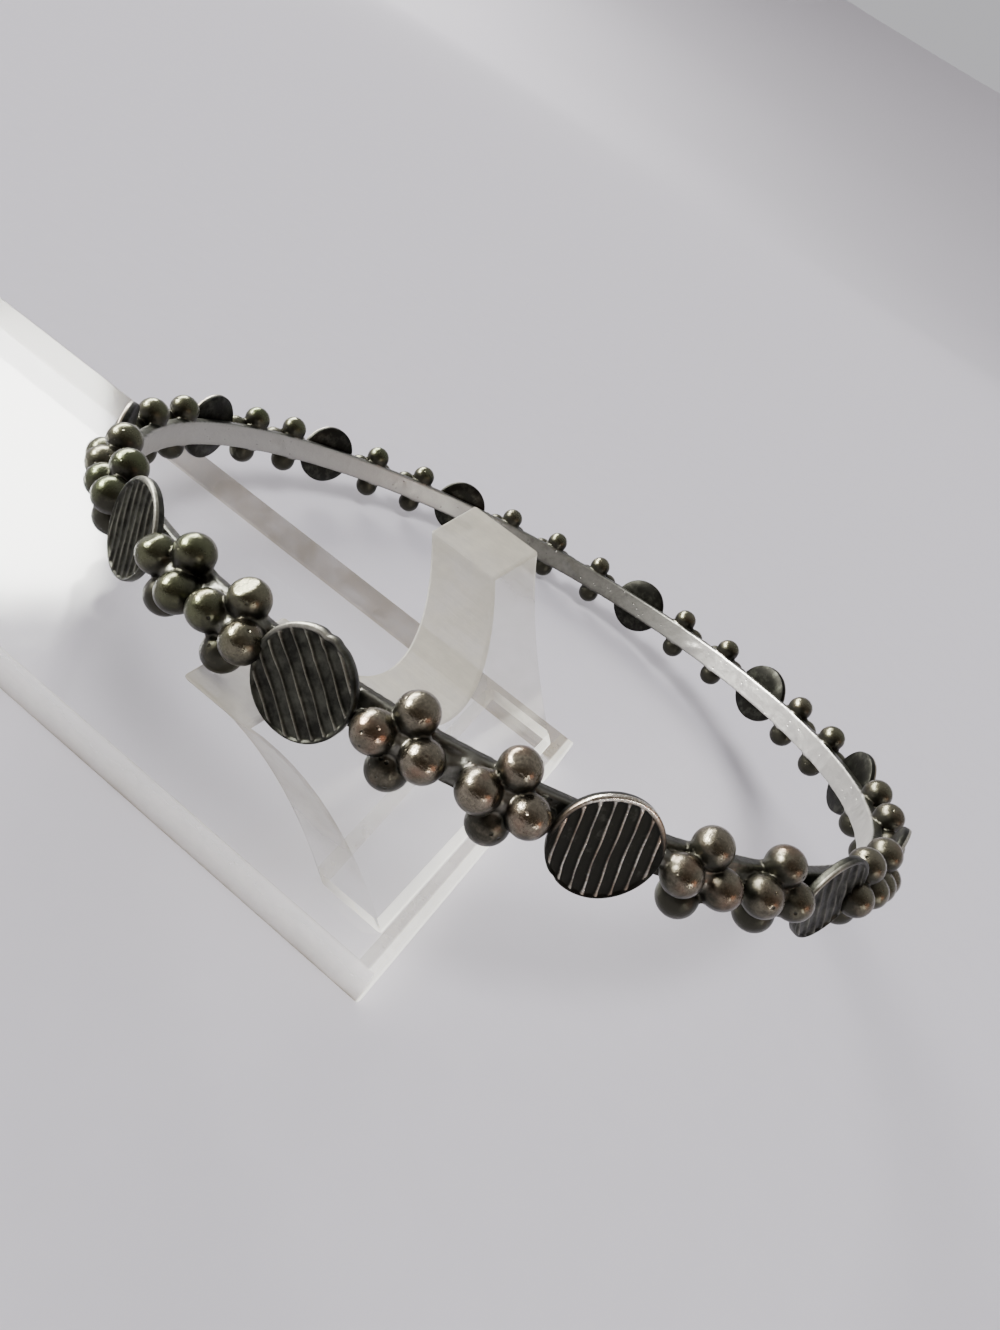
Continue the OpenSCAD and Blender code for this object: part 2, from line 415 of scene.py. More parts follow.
def solder_drops():
    """Centre and radius of each drop of solder: in each cluster, between clusters, and under each disc."""
    drops = []
    for i, (angle, _) in enumerate(CLUSTERS):
        drops.append((*on_hoop(angle, 0, 0, CLUSTER_OUT), CLUSTER_DROP_R))
        along, up = SPILT_ALONG * rng.uniform(-1, 1), SPILT_UP * rng.uniform(-1, 1)
        drops.append((*on_hoop(angle, along, up, SPILT_OUT), SPILT_R))
        step = (CLUSTERS[(i + 1) % len(CLUSTERS)][0] - angle) % 360
        if step < CLOSE_CLUSTERS_DEG:
            for share in BETWEEN_SHARES:
                middle = on_hoop(angle + step * share, 0, rng.uniform(*BETWEEN_UP), BETWEEN_OUT)
                drops.append((*middle, rng.uniform(*BETWEEN_R)))
    for row in DISC_ROWS:
        for along in SEAT_ALONG:
            drops.append((*on_hoop(row[0], along, 0, SEAT_OUT), SEAT_R))
        for along in SIDE_ALONG:
            middle = on_hoop(row[0], along, rng.uniform(*SIDE_UP), SIDE_OUT)
            drops.append((*middle, rng.uniform(*SIDE_R)))
    return np.array(drops)


DROPS = solder_drops()
print("solder drops:", len(DROPS))

# %% Balls and drops together, each a little out of round
BALL_WOBBLE, DROP_WOBBLE = 0.022, 0.08
BLOBS = np.vstack([BALLS, DROPS[:, :3]])
BLOB_R = np.concatenate([BALL_R * rng.uniform(0.975, 1.0, len(BALLS)), DROPS[:, 3]])
WOBBLE_AXES = rng.normal(size=(len(BLOBS), 3))
WOBBLE_AXES /= np.linalg.norm(WOBBLE_AXES, axis=1)[:, None]
WOBBLE = np.concatenate([np.full(len(BALLS), BALL_WOBBLE), np.full(len(DROPS), DROP_WOBBLE)])
print("balls and drops:", len(BLOBS))

# %% The distance field of hoop, balls and solder
SOLDER_BLEND = 0.11
HOLLOW_REACH = 0.28

# Balls that are rubbed flat: which ball, the side that is flat, and how far out the flat lies
WORN_FLATS = [(58, (-0.36, -0.35, 0.87), 0.80), (66, (-0.20, -0.45, 0.87), 0.93),
              (52, (-0.55, -0.30, 0.78), 0.92)]
FLAT_BLEND = 0.05


def rub_flat(gap, blob_d, toward):
    """Cuts the worn balls with their planes, with a soft edge, and turns their slopes to match."""
    for ball, side, out in WORN_FLATS:
        facing = np.array(LEAN.transposed() @ Vector(side).normalized())
        plane = gap[:, ball] @ facing - out * BALL_R
        share = 1 / (1 + np.exp(np.clip((blob_d[:, ball] - plane) / FLAT_BLEND, -30, 30)))
        blend = FLAT_BLEND * np.log1p(np.exp(-np.abs(blob_d[:, ball] - plane) / FLAT_BLEND))
        blob_d[:, ball] = np.maximum(blob_d[:, ball], plane) + blend
        toward[:, ball] = toward[:, ball] * (1 - share[:, None]) + facing * share[:, None]


def hoop_distance(p):
    """Distance to the flat hoop, and the direction away from it."""
    r = np.hypot(p[:, 0], p[:, 1])
    across, up = r - (HOOP_R - HOOP_T / 2), p[:, 2]
    qa = np.abs(across) - (HOOP_T / 2 - HOOP_ROUND)
    qu = np.abs(up) - (HOOP_H / 2 - HOOP_ROUND)
    corner = np.hypot(np.maximum(qa, 0), np.maximum(qu, 0))
    distance = corner + np.minimum(np.maximum(qa, qu), 0) - HOOP_ROUND
    ga = np.where(corner > 1e-9, np.maximum(qa, 0), (qa > qu) * 1.0) * np.sign(across)
    gu = np.where(corner > 1e-9, np.maximum(qu, 0), (qa <= qu) * 1.0) * np.sign(up)
    size = np.maximum(np.hypot(ga, gu), 1e-9)
    out = np.stack([p[:, 0] / r * ga, p[:, 1] / r * ga, gu], 1) / size[:, None]
    return distance, out


def field(p):
    """Soft minimum of the distances, its slope, how hollow a point lies, and how little it is a ball's."""
    gap = p[:, None, :] - BLOBS[None]
    far = np.maximum(np.linalg.norm(gap, axis=2), 1e-9)
    toward = gap / far[:, :, None]
    egg = (toward * WOBBLE_AXES[None]).sum(2)
    blob_d = far - BLOB_R * (1 + WOBBLE * (egg * egg - 0.6))
    rub_flat(gap, blob_d, toward)
    hoop_d, hoop_out = hoop_distance(p)
    d = np.concatenate([hoop_d[:, None], blob_d], 1)
    nearest = d.min(1)
    weight = np.exp(-(d - nearest[:, None]) / SOLDER_BLEND)
    total = weight.sum(1)
    value = nearest - SOLDER_BLEND * np.log(total)
    slope = (weight[:, 1:, None] * toward).sum(1) + weight[:, :1] * hoop_out
    slope /= total[:, None]
    second = np.partition(d[:, :1 + len(BALLS)], 1, axis=1)[:, 1]
    in_ball = weight[:, 1:1 + len(BALLS)].sum(1) / total
    return value, slope, np.exp(-np.maximum(second, 0) / HOLLOW_REACH), 1 - in_ball


print("worn flats:", len(WORN_FLATS))

# %% [markdown]
# The plain start for the remesh is a ring of square section with a rough ball at each place. It only has
# to have the right faces near the right places, because the field moves the points afterwards.

# %% Plain shapes for the remesh
def ring_mesh(steps=240):
    """The hoop as a ring of square section."""
    corners = [(HOOP_R - HOOP_T, -HOOP_H / 2), (HOOP_R, -HOOP_H / 2), (HOOP_R, HOOP_H / 2),
               (HOOP_R - HOOP_T, HOOP_H / 2)]
    points = [(r * math.cos(a), r * math.sin(a), z) for a in
              (2 * math.pi * i / steps for i in range(steps)) for r, z in corners]
    faces = [(4 * i + j, 4 * i + (j + 1) % 4, 4 * ((i + 1) % steps) + (j + 1) % 4,
              4 * ((i + 1) % steps) + j) for i in range(steps) for j in range(4)]
    return points, faces


def ball_mesh(segments=20, rings=12):
    """A rough unit ball."""
    points = [(0, 0, 1)]
    for i in range(1, rings):
        t = math.pi * i / rings
        points += [(math.sin(t) * math.cos(a), math.sin(t) * math.sin(a), math.cos(t))
                   for a in (2 * math.pi * j / segments for j in range(segments))]
    points.append((0, 0, -1))
    last = len(points) - 1
    faces = [(0, 1 + j, 1 + (j + 1) % segments) for j in range(segments)]
    for i in range(rings - 2):
        a, b = 1 + i * segments, 1 + (i + 1) * segments
        faces += [(a + j, b + j, b + (j + 1) % segments, a + (j + 1) % segments) for j in range(segments)]
    foot = 1 + (rings - 2) * segments
    faces += [(last, foot + (j + 1) % segments, foot + j) for j in range(segments)]
    return np.array(points), faces


def rough_body():
    """The ring and all the balls and drops, which still cross each other."""
    points, faces = ring_mesh()
    points = [np.array(points)]
    start = len(points[0])
    ball_points, ball_faces = ball_mesh()
    for centre, radius in zip(BLOBS, BLOB_R):
        points.append(ball_points * radius + centre)
        faces += [tuple(start + v for v in f) for f in ball_faces]
        start += len(ball_points)
    return mesh_from("rough body", np.vstack(points), faces)


VOXEL_MM = 0.186


def remeshed(mesh):
    """The mesh with one skin of even quads."""
    holder = bpy.data.objects.new("holder", mesh)
    bpy.context.collection.objects.link(holder)
    modifier = holder.modifiers.new("skin", "REMESH")
    modifier.mode = "VOXEL"
    modifier.voxel_size = VOXEL_MM
    depsgraph = bpy.context.evaluated_depsgraph_get()
    made = bpy.data.meshes.new_from_object(holder.evaluated_get(depsgraph))
    bpy.data.objects.remove(holder)
    return made


body = remeshed(rough_body())
points = np.empty(len(body.vertices) * 3)
body.vertices.foreach_get("co", points)
points = points.reshape(-1, 3)
print("skin points:", len(points))

# %% Move the skin onto the field
CHUNK, ROUNDS = 6000, 4
LARGEST_STEP, LEAST_STEEPNESS = 0.12, 0.05
HOLLOW, BAND, SLOPE = np.empty(len(points)), np.empty(len(points)), np.empty_like(points)
worst_miss = 0.0
for start in range(0, len(points), CHUNK):
    part = slice(start, start + CHUNK)
    for _ in range(ROUNDS):
        value, slope, hollow, band = field(points[part])
        steepness = np.maximum((slope ** 2).sum(1), LEAST_STEEPNESS)
        step = np.clip(value / steepness, -LARGEST_STEP, LARGEST_STEP)
        points[part] -= step[:, None] * slope
    HOLLOW[part], BAND[part], SLOPE[part] = hollow, band, slope
    worst_miss = max(worst_miss, float(np.abs(value).max()))
SLOPE /= np.linalg.norm(SLOPE, axis=1)[:, None]
print("points on the field, worst miss before the last move, mm:", round(worst_miss, 4))

# %% How hollow, proud and inside each point is
# Rows of an angle round the hoop and a number there: how bright its inner face is worn, dimmed from about
# 46 to 97 degrees by painted shade, how much more of the black is left on the balls, and how green the
# tarnish is
INNER_WEAR_AND_SHADE = ((0, 0.8), (12, 0.85), (34, 1.0), (46, 0.3), (60, 0.13), (84, 0.14), (97, 0.4), (160, 0.5),
               (330, 0.7))
BLACKER = ((0, 0.1), (268, 0.0), (282, 0.22), (335, 0.22), (360, 0.1))
TARNISH = ((0, 0.6), (150, 1.0), (230, 0.95), (236, 0.7), (240, 0.35), (268, 0.1), (288, 0.25), (302, 0.5),
           (360, 0.6))
CORE_IN, CORE_REACH = 0.2, 2.3
INNER_SKIN_MM, INNER_FADE_MM = 0.12, 0.08


def round_hoop(rows):
    """A number for each point, read from rows of angle and number."""
    return np.interp(station, *zip(*rows))


radius = np.hypot(points[:, 0], points[:, 1])
core = points.copy()
core[:, :2] *= ((HOOP_R - CORE_IN) / radius)[:, None]
core[:, 2] = 0
from_core = points - core
reach_out = np.linalg.norm(from_core, axis=1)
PROUD = np.clip((from_core * SLOPE).sum(1) / np.maximum(reach_out, 1e-6), 0, 1)
PROUD *= np.clip(reach_out / CORE_REACH, 0, 1)
station = np.degrees(np.arctan2(points[:, 1], points[:, 0])) % 360
INSIDE = np.clip((HOOP_R - HOOP_T + INNER_SKIN_MM - radius) / INNER_FADE_MM, 0, 1)
INSIDE *= (np.abs(points[:, 2]) < HOOP_H / 2) * round_hoop(INNER_WEAR_AND_SHADE)
HOLLOW += round_hoop(BLACKER)
GREEN = round_hoop(TARNISH)
# How much a point faces up, for the painted shade on the hoop's top
TOP_SHADE = np.clip(SLOPE[:, 2] * 2 - 1, 0, 1)
# Painted shade: darker where the surface faces down, and a little more where it lies low
UNDERSIDE_SHADE = np.clip(0.5 - 0.9 * SLOPE[:, 2], 0, 1) + 0.5 * np.clip((-points[:, 2] - 0.5) / 0.9, 0, 1)
print("share of the points on the hoop's inner face:", round(float((INSIDE > 0).mean()), 3))

# %% Lean the body on the stand and give it its finish
def placed(points):
    """Points of the flat-lying bangle, leaned on the stand, in metres."""
    return (points @ np.array(LEAN).T + np.array(RING_MIDDLE)) * MM


body.vertices.foreach_set("co", placed(points).ravel())
body.update()
piece_from(body, "soldered_body", "bangle", [SILVER],
           {"hollow": HOLLOW, "proud": PROUD, "inside": INSIDE, "under": UNDERSIDE_SHADE, "band": BAND,
            "green": GREEN, "top": TOP_SHADE})
body.normals_split_custom_set_from_vertices(SLOPE @ np.array(LEAN).T)

# %% [markdown]
# ## The ribbed discs
# Each disc is a thin plate, cut with fine ribs by hand and with a rim that is thicker on one side. A bump
# could draw the ribs, but from the side they would be gone, so they are real faces. A disc's face is a fine
# grid pressed into a circle, with its rows along the ribs, and one height formula raises the ribs and the
# rim. No two discs match: each gets its own small errors.

# %% The rows of a disc's mesh
RIB_PITCH, RIB_COUNT, RIB_HALF = 0.74, 8, 0.062
RIM_THIN, RIM_THICK = 0.15, 0.36
COLUMNS = 48


def mesh_rows():
    """Rows of points run along the ribs: close together on a rib and at the rim, and wide between."""
    rows = [(i - (RIB_COUNT - 1) / 2) * RIB_PITCH + off for i in range(RIB_COUNT)
            for off in (-0.37, -0.25, -0.16, -0.10, -0.05, 0, 0.05, 0.10, 0.16, 0.25)]
    rows += [side * v for side in (-1, 1) for v in (2.98, 3.04, 3.08, DISC_R)]
    return np.array(sorted(rows))


MESH_ROWS = mesh_rows()
print("rows in a disc's mesh:", len(MESH_ROWS))

# %% The height of a disc's face
def disc_height(u, v, row, up, seed, wear):
    """Height of the ribs and rim at places on the face, and how worn each place is; up is the thick side."""
    nearest = np.clip(np.round(row / RIB_PITCH + (RIB_COUNT - 1) / 2), 0, RIB_COUNT - 1)
    off = row - (nearest - (RIB_COUNT - 1) / 2) * RIB_PITCH
    # The rim is widest on its thick side, and a rib spreads where it runs into the rim
    inward = DISC_R - np.hypot(u, v)
    facing = np.arctan2(v, u)
    width = RIM_THIN + (RIM_THICK - RIM_THIN) * (0.5 + 0.5 * np.cos(facing - up - 0.1)) ** 1.5
    width *= 1 + 0.08 * np.sin(5 * facing + seed)
    half = RIB_HALF * (1 + 1.1 * np.exp(-(np.maximum(inward - width, 0) / 0.22) ** 2))
    rib = np.exp(-(off / half) ** 2) * (0.84 + 0.16 * np.sin(u * 1.9 + nearest * 1.7 + seed))
    share = np.clip(inward / width, 0, 1)
    rim = np.sqrt(np.maximum(1 - (2 * share - 1) ** 2, 0)) * (share < 1)
    thick = (width - RIM_THIN) / (RIM_THICK - RIM_THIN)
    height = np.maximum(rib * np.clip(inward / width - 0.3, 0, 1), rim ** 0.6 * (0.75 + 0.25 * thick))
    least, at, narrow, on_ribs = wear
    worn_side = (0.5 + 0.5 * np.cos(facing - math.radians(at))) ** narrow
    worn_rim = np.where(share < 0.5, 1.0, rim) * (share < 1) * (least + (1 - least) * worn_side)
    return RIB_H * height, np.maximum(on_ribs * rib * (share >= 1), worn_rim)


print("ribs and rim stand, mm:", RIB_H)

# %% One disc's mesh
# Rings that close a disc's side and back: inset from its edge, height above its back, and wear
BACK_RINGS = ((0.0, 0.34, 0.25), (0.03, 0.08, 0.15), (0.10, 0.0, 0.15), (1.2, 0.0, 0.15))


def disc_mesh(seed, up, notch, wear):
    """Points, faces and crest numbers of a disc that lies flat, its face up."""
    t = np.linspace(-1, 1, COLUMNS + 1)
    row, along = np.meshgrid(MESH_ROWS, np.sin(t * math.pi / 2), indexing="ij")
    end = np.sqrt(np.maximum(DISC_R ** 2 - np.minimum(np.abs(row), DISC_R - 0.004) ** 2, 0))
    u = along * end
    wave = 0.045 * np.sin(0.95 * u + seed + 0.25 * row) + 0.014 * np.sin(2.7 * u + 2.1 * seed + 1.3 * row)
    v = row + wave * (1 - along ** 4) * (1 - (row / DISC_R) ** 8)
    last_rows = np.abs(row) > DISC_R - 0.001
    v = np.where(last_rows, np.sign(row) * np.sqrt(np.maximum(DISC_R ** 2 - u ** 2, 0)), v)
    height, crest = disc_height(u, v, row, up, seed, wear)
    facing = np.arctan2(v, u)
    size = 0.99 + 0.007 * np.sin(2 * facing + seed) + 0.003 * np.sin(5 * facing + 2 * seed)
    for place, depth in notch:
        size -= depth * np.exp(-((facing - place + math.pi) % (2 * math.pi) - math.pi) ** 2 / 0.006)
    face_points = np.stack([(u * size).ravel(), (v * size).ravel(), DISC_OUT + height.ravel()], 1)
    index = np.arange(row.size).reshape(row.shape)
    faces = np.stack([index[:-1, :-1], index[:-1, 1:], index[1:, 1:], index[1:, :-1]], -1)
    faces = faces.reshape(-1, 4).tolist()
    edge = np.concatenate([index[0, :-1], index[:-1, -1], index[-1, :0:-1], index[:0:-1, 0]])
    rings, crests = [face_points], [crest.ravel()]
    start, last = len(face_points), edge
    base = DISC_OUT - DISC_T
    for inset, up_mm, worn in BACK_RINGS:
        ring = face_points[edge].copy()
        length = np.hypot(ring[:, 0], ring[:, 1])
        ring[:, :2] *= ((length - inset) / length)[:, None]
        ring[:, 2] = base + up_mm
        rings.append(ring)
        crests.append(np.full(len(edge), worn))
        now = np.arange(start, start + len(edge))
        faces += [(last[i], now[i], now[(i + 1) % len(edge)], last[(i + 1) % len(edge)])
                  for i in range(len(edge))]
        start, last = start + len(edge), now
    faces.append(tuple(reversed(last.tolist())))
    return np.vstack(rings), faces, np.concatenate(crests)


print("rings at a disc's side and back:", len(BACK_RINGS))

# %% All the discs on the hoop
# Discs that differ from the rest: how much their crests shine; how worn they are (the rim's least wear, its
# brightest place in degrees, how narrow that is, and the wear of the ribs); and nicks (place and depth)
PLAIN_SHINE = 0.5
SHINE = {6: 0.05, 7: 0.12, 8: 1.0, 9: 0.15}
RIM_WEAR = {6: (0.12, 125, 2.5, 0.7), 7: (0.0, 160, 5, 1), 8: (0.06, 178, 2.2, 1), 9: (0.15, 200, 6, 0.7)}
NICKS = {7: ((2.27, 0.035), (1.95, 0.02)), 8: ((5.5, 0.02),), 2: ((0.6, 0.03),)}
disc_points, disc_faces, disc_crests, disc_shine = [], [], [], []
count = 0
for i, row in enumerate(DISC_ROWS):
    upward = math.pi - math.radians(row[1])
    flat, faces, crest = disc_mesh(1.0 + 1.9 * i, upward, NICKS.get(i, ()),
                                   RIM_WEAR.get(i, (0.4, 180 - row[1], 1.5, 1)))
    stand_up = (Matrix.Rotation(math.radians(row[0]), 3, "Z") @ Matrix.Rotation(math.radians(90), 3, "Y")
                @ Matrix.Rotation(math.radians(row[1]), 3, "Z"))
    flat[:, 2] += HOOP_R
    disc_points.append(flat @ np.array(stand_up).T)
    disc_faces += [tuple(int(v) + count for v in f) for f in faces]
    disc_crests.append(crest)
    disc_shine.append(np.full(len(flat), SHINE.get(i, PLAIN_SHINE)))
    count += len(flat)
disc_mesh_all = mesh_from("ribbed_discs", placed(np.vstack(disc_points)), disc_faces)
piece_from(disc_mesh_all, "ribbed_discs", "bangle", [RIBBED],
           {"crest": np.concatenate(disc_crests), "shine": np.concatenate(disc_shine)})

# %% [markdown]
# ## Clear acrylic
# Clear sheet that stands on a pale table hardly shows: what the eye finds is a faint mirror of the room
# on its polished faces, and the frost where it was sawn. A glass shader could bend the light as the real
# sheet does, but it is slow to clear of noise, and a baked model can't hold it. So the polished finish is a
# thin film that mirrors a little and lets the rest through, and the sawn finish is a white frost whose
# strength is a number of the mesh, "frost", broken up by the saw's marks. "Shade" is painted shade, which
# turns the frost grey. Clear sheet also carries light to its sawn edges; that light is painted as a glow
# that the finish emits, and "glow" says where it shines.

# %% Polished and sawn acrylic
# Tint of the mirror, grey of the painted shade, tones of the frost, tint and strength of the painted glow
MIRROR_TINT, FROST_SHADE = (0.96, 0.97, 0.93, 1), (0.25, 0.21, 0.145, 1)
FROST_DULL, FROST_PALE = (0.74, 0.71, 0.58, 1), (0.93, 0.905, 0.765, 1)
NO_GLOW, GLOW_TINT, EDGE_GLOW = (0, 0, 0, 1), (1.0, 1.0, 0.95, 1), 1.45
SAW_TURN, SAW_STRETCH = (0.5, 0.3, 0.4), (0.10, 1.0, 0.8)


def polished_finish():
    """A faint mirror with scuffs, which lets most light through."""
    f = Finish(bpy.data.materials.new("polished acrylic"))
    where = f.place()
    scuffs = f.noise(where, 2.5, 5, 0.7).over(0.55, 0.8)
    surface = f.node("ShaderNodeBsdfPrincipled", None, {
        "Base Color": MIRROR_TINT,
        "Metallic": 1.0,
        "Roughness": 0.10 + scuffs * 0.08,
        "Alpha": 0.078 + scuffs * 0.02,
        "Normal": f.bump(f.noise(where, 6, 2), 0.03, 0.2)})
    return f.done(surface)


def sawn_finish():
    """Frost with the saw's marks, greyed by painted shade and made bright by a painted glow that it emits."""
    f = Finish(bpy.data.materials.new("sawn acrylic"))
    where = f.place()
    frost, shade, glow = f.number("frost"), f.number("shade"), f.number("glow")
    slanted = f.node("ShaderNodeMapping", None, {
        "Vector": where, "Rotation": SAW_TURN, "Scale": SAW_STRETCH})
    cloud = f.noise(where, 3.0, 3)
    marks = f.noise(slanted, 0.55, 4, 0.65) * 0.5 + f.noise(where, 1.7, 4, 0.6) * 0.9 - 0.2
    frosted = f.mix(marks, FROST_DULL, FROST_PALE)
    surface = f.node("ShaderNodeBsdfPrincipled", None, {
        "Base Color": f.mix(shade, frosted, FROST_SHADE),
        "Roughness": 0.42 + marks * 0.2,
        "Emission Color": f.mix(glow, NO_GLOW, GLOW_TINT),
        "Emission Strength": EDGE_GLOW,
        "Alpha": (frost * (0.65 + marks * 0.35 + (cloud - 0.5) * 0.5)).clamped(),
        "Normal": f.bump(marks, 0.08, 0.8)})
    return f.done(surface)


POLISHED, SAWN = polished_finish(), sawn_finish()
print("finishes:", POLISHED.name, SAWN.name)

# %% [markdown]
# Both solids are prisms: one outline at two ends. Their edges are eased by a bevel, whose thin faces take
# the frost, a painted pale line that stands for the light an eased edge of clear sheet catches.

# %% Helpers for the sheet
EDGE_MM, EDGE_STEPS, SHARP_DEG = 0.22, 2, 30


def prism(outline, corner):
    """Points and faces of an outline at ends 0 and 1; corner gives the place of a point and an end."""
    count = len(outline)
    points = [corner(p, end) for end in (0, 1) for p in outline]
    faces = [(i, (i + 1) % count, count + (i + 1) % count, count + i) for i in range(count)]
    faces += [tuple(reversed(range(count))), tuple(range(count, 2 * count))]
    return points, faces


def eased(mesh):
    """The mesh with its sharp edges eased; the new thin faces take the second finish."""
    holder = bpy.data.objects.new("holder", mesh)
    bpy.context.collection.objects.link(holder)
    modifier = holder.modifiers.new("ease", "BEVEL")
    modifier.width = EDGE_MM * MM
    modifier.segments = EDGE_STEPS
    modifier.limit_method = "ANGLE"
    modifier.angle_limit = math.radians(SHARP_DEG)
    modifier.material = 1
    depsgraph = bpy.context.evaluated_depsgraph_get()
    made = bpy.data.meshes.new_from_object(holder.evaluated_get(depsgraph))
    bpy.data.objects.remove(holder)
    return made


def split_at(mesh, cuts):
    """Cuts the faces of a mesh along planes, each given by a point in metres and a direction."""
    work = bmesh.new()
    work.from_mesh(mesh)
    for point, direction in cuts:
        bmesh.ops.bisect_plane(work, geom=work.verts[:] + work.edges[:] + work.faces[:],
                               plane_co=point, plane_no=direction)
    work.to_mesh(mesh)
    work.free()


def two_finishes(mesh, is_sawn):
    """Gives the sawn faces the second finish; is_sawn is told a face's middle and its direction."""
    for finish in (POLISHED, SAWN):
        mesh.materials.append(finish)
    for polygon in mesh.polygons:
        polygon.material_index = 1 if is_sawn(polygon.center, polygon.normal) else 0


print("edges are eased by", EDGE_MM, "mm")

# %% The base strip
# The foot of its sides, grey with a painted shadow, the line along its end with a painted glow, the line
# beside that, grey with painted shade, and how soft the step from one to the other is
FOOT_MM, END_MM, GAP_MM, SOFT_MM = 0.85, 0.55, 1.4, 0.15
base_low, base_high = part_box("stand_base")
base_outline = [(base_low.x, base_low.y), (base_high.x, base_low.y), (base_high.x, base_high.y),
                (base_low.x, base_high.y)]
points, faces = prism(base_outline, lambda p, end: (*p, base_high.z if end else base_low.z))
base_mesh = mesh_from("stand_base", points, faces)
split_at(base_mesh, [((0, 0, base_low.z + up * MM), (0, 0, 1)) for up in (FOOT_MM, FOOT_MM + SOFT_MM)]
         + [((base_high.x - back * MM, 0, 0), (1, 0, 0)) for back in (END_MM, END_MM + SOFT_MM, GAP_MM)])
two_finishes(base_mesh, lambda middle, out: abs(out.z) < 0.5 or (
    out.z > 0.5 and middle.x > base_high.x - GAP_MM * MM))
base_mesh = eased(base_mesh)
NEAR_EDGE_MM = 0.3


def strip_numbers(v):
    """Frost, shade and glow: glow at the end, shade on the far side and down the near side, all painted."""
    from_end = (base_high.x - v.co.x) / MM
    if from_end < 0.1:
        return 0.9, 0.0, 0.85
    # The top's last strip: a painted glow at the end, and painted shade in the line beside it
    if v.co.z > base_high.z - 0.01 * MM and from_end < GAP_MM + 0.1:
        return (0.7, 0.0, 0.7) if from_end < END_MM + 0.1 else (0.55, 0.7, 0.0)
    # The far side: frost in full painted shade
    if v.co.y > base_high.y - NEAR_EDGE_MM * MM:
        return 0.95, 1.0, 0.0
    # The near side: a painted glow at its top that fades to a painted shadow at its foot
    if v.co.y < base_low.y + NEAR_EDGE_MM * MM:
        up = (v.co.z - base_low.z) / (base_high.z - base_low.z)
        return 0.8 - 0.5 * up, 1 - up, 0.45 * up
    # Other sides: a painted shadow along the foot, and a faint painted glow above it
    return (0.7, 0.85, 0.0) if v.co.z < base_low.z + (FOOT_MM + 0.05) * MM else (0.5, 0.0, 0.35)


numbers = np.array([strip_numbers(v) for v in base_mesh.vertices])
strip = piece_from(base_mesh, "clear_strip", "stand_base", [],
                   {"frost": numbers[:, 0], "shade": numbers[:, 1], "glow": numbers[:, 2]}, smooth=False)
strip.visible_shadow = False

# %% [markdown]
# The cradle leans back over the strip. Its outline is made of a flared side, a prong's flat top and the
# round notch, mirrored, and each point of it slides back with its height. Its back face is turned a
# little, so that the near prong is the thinner one.

# %% The cradle's outline
CRADLE_T, CRADLE_LEAN, CRADLE_TAPER = 5.8, 44, 4
CRADLE_FOOT_W, NOTCH_W, NOTCH_DEPTH = 28.0, 20.6, 5.3
SEAM_MM = 0.8
cradle_low, cradle_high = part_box("stand_cradle")
rise = (cradle_high.z - cradle_low.z) / MM
top_half = (cradle_high.y - cradle_low.y) / MM / 2
cradle_y = (cradle_high.y + cradle_low.y) / 2 / MM
flare = top_half - CRADLE_FOOT_W / 2
flare_r = (flare ** 2 + rise ** 2) / (2 * flare)
notch_r = ((NOTCH_W / 2) ** 2 + NOTCH_DEPTH ** 2) / (2 * NOTCH_DEPTH)


def half_outline(steps=14):
    """From the foot up the flared side, along the prong's top and down the notch to its middle."""
    side = [(CRADLE_FOOT_W / 2 + flare_r - math.sqrt(flare_r ** 2 - h * h), h)
            for h in (rise * i / steps for i in range(steps + 1))]
    sweep = math.asin(NOTCH_W / 2 / notch_r)
    notch = [(notch_r * math.sin(a), rise - NOTCH_DEPTH + notch_r * (1 - math.cos(a)))
             for a in (sweep * (1 - i / steps) for i in range(steps + 1))]
    return side, notch


side, notch = half_outline()
right_half = side + notch
outline = [(-y, h) for y, h in right_half[:-1]] + right_half[::-1]
lean_slope = math.tan(math.radians(CRADLE_LEAN))
taper = math.radians(CRADLE_TAPER)
front_x = cradle_high.x / MM


def cradle_point(place, end):
    """A point of the outline on the leaning front, or on the turned back."""
    y, h = place
    back = -h * lean_slope
    if end == 1:
        back = (back - CRADLE_T - y * math.sin(taper)) / math.cos(taper)
    return (front_x + back) * MM, (cradle_y + y) * MM, cradle_low.z + h * MM


points, faces = prism(outline, cradle_point)
print("cradle outline points:", len(outline))

# %% The cradle, with its sawn faces
def cradle_numbers(v):
    """Frost, shade and glow: painted glow on the foot's front, and the notch and tops frosted in painted
    shade.
    """
    across, h = v.y / MM - cradle_y, (v.z - cradle_low.z) / MM
    behind = front_x - h * lean_slope - v.x / MM
    # The foot's front has a painted glow, and its back frost with a little painted shade
    if h < SEAM_MM + 0.01:
        return (0.85, 0.0, 0.85) if behind < 0.4 else (0.4, 0.3, 0.0)
    if across < -NOTCH_W / 2:
        near_frost = 0.9 if h > 0.9 * rise else 0.8 * min(1, max(0.12, (h / rise - 0.15) / 0.35))
        return near_frost, 0.55, 0.0
    if across < NOTCH_W / 2 + 0.5:
        return 1.0, 0.48, 0.0
    return 0.35 + 0.65 * min(1, max(0, (h / rise - 0.7) / 0.25)), 0.48, 0.0


cradle_mesh = mesh_from("stand_cradle", points, faces)
split_at(cradle_mesh, [((0, 0, cradle_low.z + SEAM_MM * MM), (0, 0, 1))])
two_finishes(cradle_mesh, lambda middle, out: out.z > -0.9 and (
    abs(out.x) < 0.45 or middle.z < cradle_low.z + SEAM_MM * MM))
cradle_mesh = eased(cradle_mesh)
numbers = np.array([cradle_numbers(v.co) for v in cradle_mesh.vertices])
cradle = piece_from(cradle_mesh, "clear_cradle", "stand_cradle", [],
                    {"frost": numbers[:, 0], "shade": numbers[:, 1], "glow": numbers[:, 2]}, smooth=False)
cradle.visible_shadow = False

